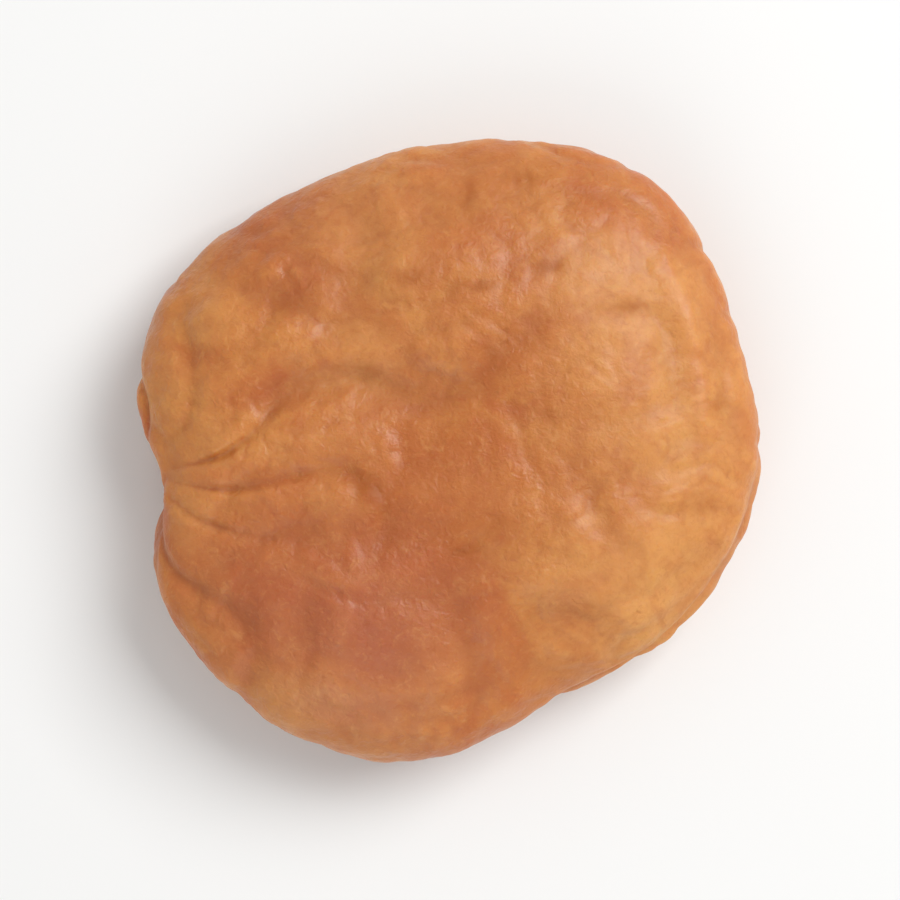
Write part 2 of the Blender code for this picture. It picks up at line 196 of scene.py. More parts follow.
FACE_BLEND = 0.25  # share of the way up at which a place counts as fully on one face

# Spots of the top where the skin is plumper: place, share of the wrinkles that is lost, half width
TOP_SMOOTH_SPOTS = (
    SmoothSpot(9.0 * MM, 11.0 * MM, 0.50, 7.5 * MM),
    SmoothSpot(14.0 * MM, 2.0 * MM, 0.40, 6.0 * MM),
    SmoothSpot(3.0 * MM, -2.0 * MM, 0.25, 6.0 * MM),
    SmoothSpot(-3.0 * MM, -12.0 * MM, 0.30, 6.0 * MM),
)

GRID_CROWDING = 1.15  # more than 1 crowds the grid towards the middle, where the form spreads it
CORNER_DIGITS = 6  # corners of the grid that agree to this many digits are one corner
LATTICE = 256  # how many random slopes the noise draws on
NOISE_GAIN = 1.7  # brings the noise to about -1 to 1
SMALL_TURN = 1e-3  # used to measure the slope of the form
UPRIGHT = 0.9  # a direction with more than this share upwards is turned about X and not about Z

# Colour over the fruit: deeper flesh, and paler places that are partly paler flesh, partly painted light
# along the rim
RIPE_PATCHES = (
    Patch(-1.0 * MM, -1.0 * MM, 0.55, 5.5 * MM),
    Patch(-5.5 * MM, -4.0 * MM, 0.75, 3.5 * MM),
    Patch(6.5 * MM, -17.5 * MM, 0.40, 3.5 * MM),
    Patch(2.0 * MM, 13.5 * MM, 0.20, 4.0 * MM),
    Patch(-16.0 * MM, -6.0 * MM, 0.35, 7.0 * MM),
)
ROSY_PATCHES = (
    Patch(-5.0 * MM, -12.5 * MM, 0.90, 6.5 * MM),
    Patch(-14.0 * MM, -9.0 * MM, 0.40, 5.0 * MM),
    Patch(-9.0 * MM, 15.0 * MM, 0.35, 5.0 * MM),
)
# Paler places: partly paler flesh, partly painted light along the right and lower right rim
PALE_AND_LIT_PATCHES = (
    Patch(16.5 * MM, 1.0 * MM, 0.50, 5.5 * MM),
    Patch(11.0 * MM, 10.0 * MM, 0.40, 6.0 * MM),
    Patch(14.0 * MM, -11.0 * MM, 0.75, 6.0 * MM),
    Patch(1.0 * MM, 18.5 * MM, 0.30, 5.0 * MM),
    Patch(1.5 * MM, -15.5 * MM, 0.15, 3.0 * MM),
    Patch(-6.0 * MM, 6.0 * MM, 0.45, 4.0 * MM),
    Patch(-6.0 * MM, 14.5 * MM, 0.30, 4.0 * MM),
)

# Brown flecks of the top: place, direction in degrees from +X, length, width, strength
FLECKS = (
    Fleck(1.3 * MM, 17.2 * MM, 85, 1.9 * MM, 0.8 * MM, 0.65),
    Fleck(5.2 * MM, 18.4 * MM, 0, 2.4 * MM, 0.8 * MM, 0.50),
    Fleck(6.6 * MM, 12.3 * MM, 5, 2.0 * MM, 1.0 * MM, 0.60),
    Fleck(0.3 * MM, 10.8 * MM, 70, 1.4 * MM, 0.8 * MM, 0.40),
    Fleck(2.1 * MM, 10.9 * MM, 0, 1.5 * MM, 0.6 * MM, 0.65),
    Fleck(-2.4 * MM, 11.5 * MM, 15, 1.6 * MM, 0.9 * MM, 0.50),
    Fleck(11.9 * MM, 9.6 * MM, 0, 2.1 * MM, 0.8 * MM, 0.55),
    Fleck(2.8 * MM, 6.5 * MM, -45, 2.2 * MM, 0.8 * MM, 0.60),
    Fleck(-5.5 * MM, 5.1 * MM, 80, 1.3 * MM, 0.9 * MM, 0.40),
    Fleck(4.2 * MM, 3.2 * MM, 60, 1.2 * MM, 0.8 * MM, 0.20),
    Fleck(18.0 * MM, 3.0 * MM, 60, 1.2 * MM, 0.9 * MM, 0.55),
    Fleck(6.9 * MM, 2.2 * MM, -60, 1.2 * MM, 0.8 * MM, 0.30),
    Fleck(16.8 * MM, -3.8 * MM, 5, 1.5 * MM, 0.8 * MM, 0.25),
    Fleck(3.3 * MM, -5.0 * MM, 20, 2.0 * MM, 1.4 * MM, 0.35),
    Fleck(-5.3 * MM, -2.9 * MM, -55, 3.0 * MM, 1.3 * MM, 0.85),
    Fleck(1.1 * MM, -6.7 * MM, 5, 1.8 * MM, 0.8 * MM, 0.70),
    Fleck(-13.0 * MM, -2.0 * MM, 30, 1.5 * MM, 0.8 * MM, 0.45),
    Fleck(-11.0 * MM, 9.5 * MM, -20, 1.3 * MM, 0.9 * MM, 0.50),
)
FLECK_SOFTNESS = 0.65  # how far from a fleck's middle most of its colour is gone, as a share of its size
FLECK_RAGGEDNESS = 0.25 * MM
FLECK_RAG_SPACING = 0.6 * MM
FLECK_SEEDS = (61, 67)
RELIEF_SPAN = 0.5 * MM  # height of the wrinkles that counts as a full ridge or a full valley

# Patterns in the skin: lumps in a mm, layers of finer noise, how strong each layer is, how far it is bent
BLOTCHES = Pattern(0.16, 3.0, 0.5, 0.6)
MOTTLES = Pattern(0.75, 4.0, 0.6, 0.8)
FIBRES = Pattern(2.4, 3.0, 0.6, 1.2)
NET_BREAKS = Pattern(0.5)
SHEEN = Pattern(0.45, 3.0)
RIDGES = Pattern(0.7, 2.0, 0.5, 0.9)
RIDGE_STRETCH = (0.6, 1, 1)  # the ridges are longer along X than across it
GRAIN = Pattern(5.0, 3.0)

# Bands of the skin: the value at the start, the value at the end, and what each gives, 0 and 1 if left out
BLOTCH_DEEP = Band(0.36, 0.66)
MOTTLE_DEEP = Band(0.45, 0.75, 0.0, 0.35)
MOTTLE_PALE = Band(0.45, 0.25, 0.0, 0.30)
FIBRE_DEEP = Band(0.50, 0.72, 0.0, 0.22)
FIBRE_PALE = Band(0.46, 0.26, 0.0, 0.20)
NET_LINE = Band(1.0, 0.0, 0.0, 0.22)
NET_UNBROKEN = Band(0.42, 0.62)
# Painted shade in the valleys and painted light on the ridges, both from the height of the wrinkles
VALLEY_SHADE = Band(0.1, -1.0, 0.0, 0.48)
VALLEY_ON_PALE = Band(0.0, 0.5, 1.0, 0.25)
RIDGE_LIGHT = Band(0.1, 1.0, 0.0, 0.25)
SHEEN_ROUGHNESS = Band(0.3, 0.7, 0.34, 0.54)
PALE_ROUGHNESS = Band(0.0, 0.6, 0.0, 0.14)
FLECK_ROUGHNESS = 0.25  # added in the middle of a fleck of full strength
PALE_COAT = Band(0.0, 0.6, 0.26, 0.08)
PALE_RELIEF = Band(0.0, 0.5, 1.0, 0.40)

# Heights of the bump: the ridges', and the finer ones as shares of it
RIDGE_HEIGHT = 0.10 * MM
CRINKLE_HEIGHT = 0.50
GRAIN_HEIGHT = 0.45

# Small flecks all over: their ragged edges, their sizes as shares of the largest, and how brown they are
SMALL_FLECK_RAGS = Pattern(1.1)
SMALL_FLECK_RAGGEDNESS = 2.4  # in mm
SMALL_FLECK_SIZES = Band(0.0, 1.0, 0.35, 1.0)
SMALL_FLECK_EDGE = Band(1.0, 0.3)
SMALL_FLECK_STRENGTH = 0.4

# Numbers of the sockets of a colour mix, and the middle of the colours that a noise gives
MIX_SHARE, MIX_FIRST, MIX_SECOND, MIX_RESULT = 0, 6, 7, 2
NOISE_MIDDLE = (0.5, 0.5, 0.5)

# Stage, in metres from where the fruit lies
KEY_PLACE = (0.33, 0.25, 0.47)
KEY_WIDTH = 0.36
FILL_PLACE = (-0.10, -0.45, 0.35)
FILL_WIDTH = 0.40
FILL_SHARE = 0.2  # power of the fill light, as a share of the key light's
FLOOR_DROP = 0.02 * MM  # the floor is this far under the fruit, so that the two don't lie in one plane
NEAREST_SEEN = 10 * MM  # the camera shows nothing nearer than this


def eased(value, low, high):
    """Rises smoothly from 0 at low to 1 at high."""
    share = np.clip((value - low) / (high - low), 0, 1)
    return share * share * (3 - 2 * share)


def hump(away, spread):
    """A bell curve of height 1 and half width spread."""
    return np.exp(-((away / spread) ** 2))


def turn_from(turn, degrees):
    """The signed angle from a direction in degrees to each turn, the short way round."""
    return (turn - math.radians(degrees) + math.pi) % (2 * math.pi) - math.pi


def noise(points, spacing, seed):
    """Smooth random swell, about -1 to 1, with lumps about one spacing across.

    Each corner of a cubic lattice has a random slope. A point takes the eased mean of the heights that
    the slopes of its eight nearest corners give it.
    """
    random = np.random.default_rng(seed)
    order = random.permutation(LATTICE)
    slopes = random.normal(size=(LATTICE, 3))
    slopes /= np.linalg.norm(slopes, axis=1, keepdims=True)
    place = points / spacing
    cell = np.floor(place).astype(int)
    inside = place - cell
    ease = inside**3 * (inside * (inside * 6 - 15) + 10)
    total = np.zeros(len(points))
    for corner in itertools.product((0, 1), repeat=3):
        key = np.zeros(len(points), int)
        for axis in range(3):
            key = order[(key + cell[:, axis] + corner[axis]) % LATTICE]
        share = np.prod(np.where(corner, ease, 1 - ease), axis=1)
        total += share * np.einsum("ij,ij->i", slopes[key], inside - corner)
    return total * NOISE_GAIN


def outline_radius(turn, mean_radius):
    """Distance from the middle to the rim for each turn about Z: a circle with lumps and a notch."""
    radius = np.full_like(turn, mean_radius)
    for lump in RIM_LUMPS:
        radius += lump.rise * hump(turn_from(turn, lump.turn), math.radians(lump.spread))
    notch = hump(turn_from(turn, STEM_TURN), math.radians(NOTCH_SPREAD))
    return radius - NOTCH_DEPTH * notch


def swollen(flat, rise, swells):
    """The rise of a face over each flat place, with that face's swells and dents."""
    height = np.full(len(flat), rise)
    for swell in swells:
        away = np.hypot(flat[:, 0] - swell.x, flat[:, 1] - swell.y)
        height += swell.rise * hump(away, swell.spread)
    return height


def plump_form(ways, shape):
    """The fruit with no wrinkles, for unit directions from its middle.

    Each direction's share along the level gives how far out the point is, and its share upwards gives how
    high it is, both raised to a power that makes the pillow fuller than an ellipsoid.
    """
    turn = np.arctan2(ways[:, 1], ways[:, 0])
    level = np.hypot(ways[:, 0], ways[:, 1])
    out = outline_radius(turn, shape.mean_radius) * level ** (2 / SIDE_POWER)
    flat = np.stack((out * np.cos(turn), out * np.sin(turn)), axis=1)
    rise = np.where(
        ways[:, 2] > 0,
        swollen(flat, shape.top_rise, TOP_SWELLS),
        swollen(flat, shape.base_rise, BASE_SWELLS),
    )
    height = rise * np.sign(ways[:, 2]) * np.abs(ways[:, 2]) ** (2 / CROWN_POWER)
    twist = RIM_TWIST * np.cos(2 * turn_from(turn, RIM_TWIST_TURN)) * level**RIM_TWIST_POWER
    return np.column_stack((flat, height + twist))


def outward(ways, shape):
    """The unit normal of the plump form at each direction, from two small turns of it."""
    aside = np.cross(ways, np.where(np.abs(ways[:, 2:]) < UPRIGHT, (0, 0, 1), (1, 0, 0)))
    aside /= np.linalg.norm(aside, axis=1, keepdims=True)
    along = np.cross(ways, aside)
    here = plump_form(ways, shape)
    slopes = []
    for tangent in (aside, along):
        near = ways + SMALL_TURN * tangent
        near /= np.linalg.norm(near, axis=1, keepdims=True)
        slopes.append(plump_form(near, shape) - here)
    normals = np.cross(*slopes)
    return normals / np.linalg.norm(normals, axis=1, keepdims=True)


def crease_depth(flat, crease):
    """Depth of one crease at each flat place: a valley with rounded banks along a bent line.

    The line is a quadratic curve cut into short runs. Each place takes its distance from the nearest run,
    and the depth follows half a sine wave along the line.
    """
    steps = np.linspace(0, 1, CREASE_STEPS + 1)[:, None]
    route = (1 - steps) ** 2 * np.array(crease.start) + steps**2 * np.array(crease.end)
    route = (route + 2 * steps * (1 - steps) * np.array(crease.lean)) * MM
    nearest = np.full(len(flat), np.inf)
    share = np.zeros(len(flat))
    for index, (near, far) in enumerate(itertools.pairwise(route)):
        run = far - near
        along = np.clip(((flat - near) @ run) / (run @ run), 0, 1)
        away = np.linalg.norm(flat - near - along[:, None] * run, axis=1)
        closer = away < nearest
        share = np.where(closer, (index + along) / CREASE_STEPS, share)
        nearest = np.where(closer, away, nearest)
    width = crease.half_width * MM
    valley = hump(nearest, width) - CREASE_BANK * hump(nearest - BANK_PLACE * width, width)
    taper = np.sin(math.pi * (CREASE_END + (1 - 2 * CREASE_END) * share))
    return crease.depth * MM * valley * taper


def rounded_folds(swell):
    """Turns a smooth swell into rounded folds, from about -0.5 to 0.5, with valleys where it is 0."""
    ridge = np.hypot(swell, VALLEY_ROUNDING) - VALLEY_ROUNDING
    return np.tanh(FOLD_FULLNESS * ridge) - 0.5


def gathers(flat, phase, shape):
    """Height of the folds that run out from the stem end, for one face.

    The folds are the bumps of a sine wave round the stem end, which bunch up in places. They bend a
    little from side to side on their way out, rise over a short distance and then fade.
    """
    stem_turn = math.radians(STEM_TURN)
    stem = outline_radius(np.array([stem_turn]), shape.mean_radius)[0]
    from_stem = flat - stem * np.array([math.cos(stem_turn), math.sin(stem_turn)])
    away = np.hypot(from_stem[:, 0], from_stem[:, 1])
    bearing = np.arctan2(from_stem[:, 1], from_stem[:, 0])
    bent = bearing + GATHER_WANDER * np.sin(away / GATHER_WANDER_LENGTH + phase)
    bent += GATHER_CROWDING * np.sin(GATHER_CROWDS * bearing + phase)
    folds = rounded_folds(np.sin(GATHER_COUNT / 2 * bent + phase))
    reach = GATHER_REACH * (1 + GATHER_UNEVENNESS * np.sin(GATHER_FAR_REACHES * bearing + phase))
    strength = eased(away, GATHER_START, GATHER_FULL) * np.exp(-away / reach)
    return GATHER_DEPTH * folds * strength


def stem_slit(turn, height):
    """How far the rim stands out at the slit where the stone left: a deep line between two lips."""
    aside = turn_from(turn, STEM_TURN) / math.radians(SLIT_SPREAD)
    away = height - SLIT_LEVEL - SLIT_BOW * np.sin(aside * math.pi / 2)
    lips = hump(np.abs(away) - LIP_PLACE * SLIT_HALF_GAP, LIP_WIDTH * SLIT_HALF_GAP)
    return hump(aside, 1) * (LIP_RISE * lips - SLIT_DEPTH * hump(away, SLIT_HALF_GAP))


def seam(turn, height):
    """Height of the skin along the seam, a shallow groove that wanders along half of the rim."""
    degrees = (np.degrees(turn) - SEAM_FROM) % 360 + SEAM_FROM
    begun = eased(degrees, SEAM_FROM, SEAM_FROM + SEAM_FADE)
    ended = eased(degrees, SEAM_TO - SEAM_FADE, SEAM_TO)
    line = SEAM_LEVEL + SEAM_WANDER * np.sin(np.radians(degrees * SEAM_WAVES))
    return -SEAM_DEPTH * begun * (1 - ended) * hump(height - line, SEAM_HALF_WIDTH)


def pattern_bend(points):
    """How far the pattern of folds is moved at each point, so that no fold runs straight."""
    return np.stack([noise(points, BEND_SPACING, seed) for seed in BEND_SEEDS], axis=1) * BEND


def skin_folds(points, shape):
    """Height of the wrinkles that cover the whole fruit, from broad swells down to fine crepe."""
    bend = pattern_bend(points)
    bent = (points + bend) * (1 / FOLD_STRETCH, 1, 1)
    height = SKIN_SWELL.depth * noise(points, SKIN_SWELL.spacing, SKIN_SWELL.seed)
    height += SKIN_FOLDS.depth * rounded_folds(noise(bent, SKIN_FOLDS.spacing, SKIN_FOLDS.seed))
    height += SKIN_CREPE.depth * rounded_folds(noise(points + bend, SKIN_CREPE.spacing, SKIN_CREPE.seed))
    fine = rounded_folds(noise(points + bend, FINE_CREPE.spacing, FINE_CREPE.seed))
    return height + shape.fine_crepe_depth * fine


def rim_pleats(ways, points, shape):
    """Height of the pleats that run over the rim from one face to the other.

    They are folds on an upright drum as wide as the fruit. How far a point is up the skin, drawn together,
    is its height on the drum, so that the folds are long in that direction.
    """
    turn = np.arctan2(ways[:, 1], ways[:, 0])
    climb = np.arcsin(ways[:, 2]) / (math.pi / 2) * PLEAT_CLIMB / PLEAT_STRETCH
    drum = np.column_stack((shape.mean_radius * np.cos(turn), shape.mean_radius * np.sin(turn), climb))
    folds = rounded_folds(noise(drum + pattern_bend(points), PLEATS.spacing, PLEATS.seed))
    strength = hump(ways[:, 2] - PLEAT_LEVEL, PLEAT_SPAN)
    strength *= 1 - hump(turn_from(turn, STEM_TURN), math.radians(PLEAT_STEM_SPREAD))
    return PLEATS.depth * folds * strength


def smoothness(ways, flat, top):
    """The share of the wrinkles that is lost: on the rim, and at a few spots of the top."""
    lost = RIM_SMOOTHING * hump(ways[:, 2], RIM_SMOOTHING_SPAN)
    for spot in TOP_SMOOTH_SPOTS:
        away = np.hypot(flat[:, 0] - spot.x, flat[:, 1] - spot.y)
        lost += top * spot.share * hump(away, spot.spread)
    return lost


def wrinkled_form(ways, shape):
    """The finished skin for unit directions from the middle, and the height of its wrinkles."""
    points = plump_form(ways, shape)
    normals = outward(ways, shape)
    flat = points[:, :2]
    turn = np.arctan2(ways[:, 1], ways[:, 0])
    top = eased(ways[:, 2], -FACE_BLEND, FACE_BLEND)
    base = 1 - top
    height = skin_folds(points, shape) * (1 - smoothness(ways, flat, top))
    height += rim_pleats(ways, points, shape) + seam(turn, points[:, 2])
    height += top * gathers(flat, TOP_GATHER_PHASE, shape)
    height += base * gathers(flat, BASE_GATHER_PHASE, shape)
    for crease in TOP_CREASES:
        height -= top * crease_depth(flat, crease)
    for crease in BASE_CREASES:
        height -= base * crease_depth(flat, crease)
    away = np.hypot(flat[:, 0], flat[:, 1])
    pressed = base * (1 - eased(away, REST_RADIUS, REST_RADIUS + REST_FADE))
    height *= 1 - pressed
    points = points + normals * height[:, None]
    stand_out = stem_slit(turn, points[:, 2])
    points[:, 0] += stand_out * np.cos(turn)
    points[:, 1] += stand_out * np.sin(turn)
    points[:, 2] = np.maximum(points[:, 2] + shape.base_rise - BASE_FLATTENED, 0)
    return points, height + stand_out


def box_directions(across, up):
    """Unit directions and quads of a closed grid on a box, across by across on top and under, up round it.

    Each face of the box is a grid of angles, a little closer together near its middle lines. Corners that
    two faces share are made one.
    """
    corners = []
    for axis, sign in itertools.product(range(3), (-1, 1)):
        first, second = (axis + 1) % 3, (axis + 2) % 3
        counts = [up if side == 2 else across for side in (first, second)]
        steps = (np.linspace(-1, 1, count + 1) for count in counts)
        grid = np.meshgrid(*(np.sign(step) * np.abs(step) ** GRID_CROWDING for step in steps), indexing="ij")
        face = np.empty((counts[0] + 1, counts[1] + 1, 3))
        face[..., axis] = sign
        face[..., first], face[..., second] = np.tan(np.array(grid) * math.pi / 4)
        quads = np.stack((face[:-1, :-1], face[1:, :-1], face[1:, 1:], face[:-1, 1:]), axis=2)
        quads = quads.reshape(-1, 4, 3)
        corners.append(quads if sign > 0 else quads[:, ::-1])
    corners = np.concatenate(corners).reshape(-1, 3)
    places, index = np.unique(np.round(corners, CORNER_DIGITS), axis=0, return_inverse=True)
    ways = places / np.linalg.norm(places, axis=1, keepdims=True)
    return ways, index.reshape(-1, 4)


def fitted(points):
    """The points scaled along each axis to fill the box of the plain solid."""
    low, high = points.min(axis=0), points.max(axis=0)
    return LOW + (points - low) / (high - low) * (HIGH - LOW)


def patchwork(points, patches):
    """The sum of soft round patches seen from above, from 0 to 1."""
    total = np.zeros(len(points))
    for patch in patches:
        away = np.hypot(points[:, 0] - patch.x, points[:, 1] - patch.y)
        total += patch.strength * hump(away, patch.spread)
    return np.clip(total, 0, 1)


def fleck_marks(points):
    """How brown each place of the top is: small ovals with ragged edges, from 0 to 1."""
    ragged = [noise(points, FLECK_RAG_SPACING, seed) * FLECK_RAGGEDNESS for seed in FLECK_SEEDS]
    total = np.zeros(len(points))
    for fleck in FLECKS:
        aside = points[:, 0] + ragged[0] - fleck.x
        ahead = points[:, 1] + ragged[1] - fleck.y
        turn = math.radians(fleck.turn)
        along = aside * math.cos(turn) + ahead * math.sin(turn)
        across = ahead * math.cos(turn) - aside * math.sin(turn)
        total += fleck.strength * hump(np.hypot(along / fleck.length, across / fleck.width), FLECK_SOFTNESS)
    return np.clip(total, 0, 1) * (points[:, 2] > (LOW[2] + HIGH[2]) / 2)


class Shader:
    """Adds nodes to a tree. An input is a value, or another node's output."""

    def __init__(self, tree):
        self.tree = tree

    def give(self, socket, value):
        """Links another node's output to a socket, or sets the socket to a plain value."""
        if isinstance(value, bpy.types.NodeSocket):
            self.tree.links.new(value, socket)
        else:
            socket.default_value = value

    def node(self, kind, inputs=(), **settings):
        """Adds a node, with its settings by name and then its inputs by name or by number."""
        made = self.tree.nodes.new(kind)
        for name, value in settings.items():
            setattr(made, name, value)
        for name, value in dict(inputs).items():
            self.give(made.inputs[name], value)
        return made

    def maths(self, operation, first, second=0.0):
        """One sum with two values."""
        return self.node("ShaderNodeMath", {0: first, 1: second}, operation=operation).outputs[0]

    def vectors(self, operation, first, second):
        """One sum with two vectors."""
        return self.node("ShaderNodeVectorMath", {0: first, 1: second}, operation=operation).outputs[0]

    def scaled(self, vector, scale):
        """A vector times a value."""
        return self.node("ShaderNodeVectorMath", {0: vector, "Scale": scale}, operation="SCALE").outputs[0]

    def remap(self, value, band):
        """What a band gives for a value, going smoothly from one end of the band to the other."""
        inputs = {
            "Value": value,
            "From Min": band.start,
            "From Max": band.end,
            "To Min": band.at_start,
            "To Max": band.at_end,
        }
        return self.node("ShaderNodeMapRange", inputs, interpolation_type="SMOOTHSTEP").outputs["Result"]

    def mix(self, share, first, second):
        """The first colour with a share of the second in it."""
        inputs = {MIX_SHARE: share, MIX_FIRST: first, MIX_SECOND: second}
        return self.node("ShaderNodeMix", inputs, data_type="RGBA").outputs[MIX_RESULT]

    def tint(self, colour, value, band, tone):
        """The colour with a tone in it, by the share that the band gives for the value."""
        return self.mix(self.remap(value, band), colour, (*tone, 1))

    def speckle(self, vector, pattern, kind="FBM"):
        """Random speckles in one of the skin's patterns."""
        inputs = {
            "Vector": vector,
            "Scale": pattern.per_mm,
            "Detail": pattern.detail,
            "Roughness": pattern.roughness,
            "Distortion": pattern.distortion,
        }
        return self.node("ShaderNodeTexNoise", inputs, noise_type=kind).outputs


def new_group(name, inputs, outputs):
    """An empty node group with the named sockets: its Shader, what it is given and what it gives."""
    tree = bpy.data.node_groups.new(name, "ShaderNodeTree")
    for socket, kind, default in inputs:
        made = tree.interface.new_socket(socket, in_out="INPUT", socket_type=kind)
        if default is not None:
            made.default_value = default
    for socket, kind in outputs:
        tree.interface.new_socket(socket, in_out="OUTPUT", socket_type=kind)
    given = tree.nodes.new("NodeGroupInput").outputs
    wanted = tree.nodes.new("NodeGroupOutput").inputs
    return Shader(tree), given, wanted


def build_net_group():
    """A net of fine cells, as on crinkled skin: 0 on the lines and 1 inside the cells."""
    shader, given, wanted = new_group(
        "Skin net",
        (
            ("Vector", "NodeSocketVector", None),
            ("Spacing", "NodeSocketFloat", 1.0),
            ("Line", "NodeSocketFloat", 0.2),
            ("Bend", "NodeSocketFloat", 0.5),
        ),
        (("Cells", "NodeSocketFloat"),),
    )
    scale = shader.maths("DIVIDE", 1.0, given["Spacing"])
    wander = shader.speckle(given["Vector"], Pattern(scale))["Color"]
    centred_wander = shader.vectors("SUBTRACT", wander, NOISE_MIDDLE)
    amount = shader.maths("MULTIPLY", given["Bend"], given["Spacing"])
    bent = shader.vectors("ADD", given["Vector"], shader.scaled(centred_wander, amount))
    cells = shader.node("ShaderNodeTexVoronoi", {"Vector": bent, "Scale": scale}, feature="DISTANCE_TO_EDGE")
    shader.give(wanted["Cells"], shader.remap(cells.outputs["Distance"], Band(0.0, given["Line"])))
    return shader.tree


def build_fleck_group():
    """Small soft flecks, in some of the cells of a lattice: 1 in a fleck and 0 elsewhere."""
    shader, given, wanted = new_group(
        "Flecks",
        (
            ("Vector", "NodeSocketVector", None),
            ("Spacing", "NodeSocketFloat", 3.0),
            ("Size", "NodeSocketFloat", 0.1),
            ("Share", "NodeSocketFloat", 0.3),
        ),
        (("Mask", "NodeSocketFloat"),),
    )
    scale = shader.maths("DIVIDE", 1.0, given["Spacing"])
    ragged = shader.speckle(given["Vector"], SMALL_FLECK_RAGS)["Color"]
    bent = shader.vectors("ADD", given["Vector"], shader.scaled(ragged, SMALL_FLECK_RAGGEDNESS))
    cells = shader.node("ShaderNodeTexVoronoi", {"Vector": bent, "Scale": scale})
    parts = shader.node("ShaderNodeSeparateColor", {"Color": cells.outputs["Color"]})
    chosen = shader.maths("LESS_THAN", parts.outputs["Red"], given["Share"])
    size = shader.maths("MULTIPLY", given["Size"], shader.remap(parts.outputs["Green"], SMALL_FLECK_SIZES))
    near = shader.maths("DIVIDE", cells.outputs["Distance"], size)
    spot = shader.remap(near, SMALL_FLECK_EDGE)
    shader.give(wanted["Mask"], shader.maths("MULTIPLY", spot, chosen))
    return shader.tree


def place_group(shader, group, **inputs):
    """Places a node group, with its inputs by name."""
    return shader.node("ShaderNodeGroup", inputs, node_tree=group).outputs[0]


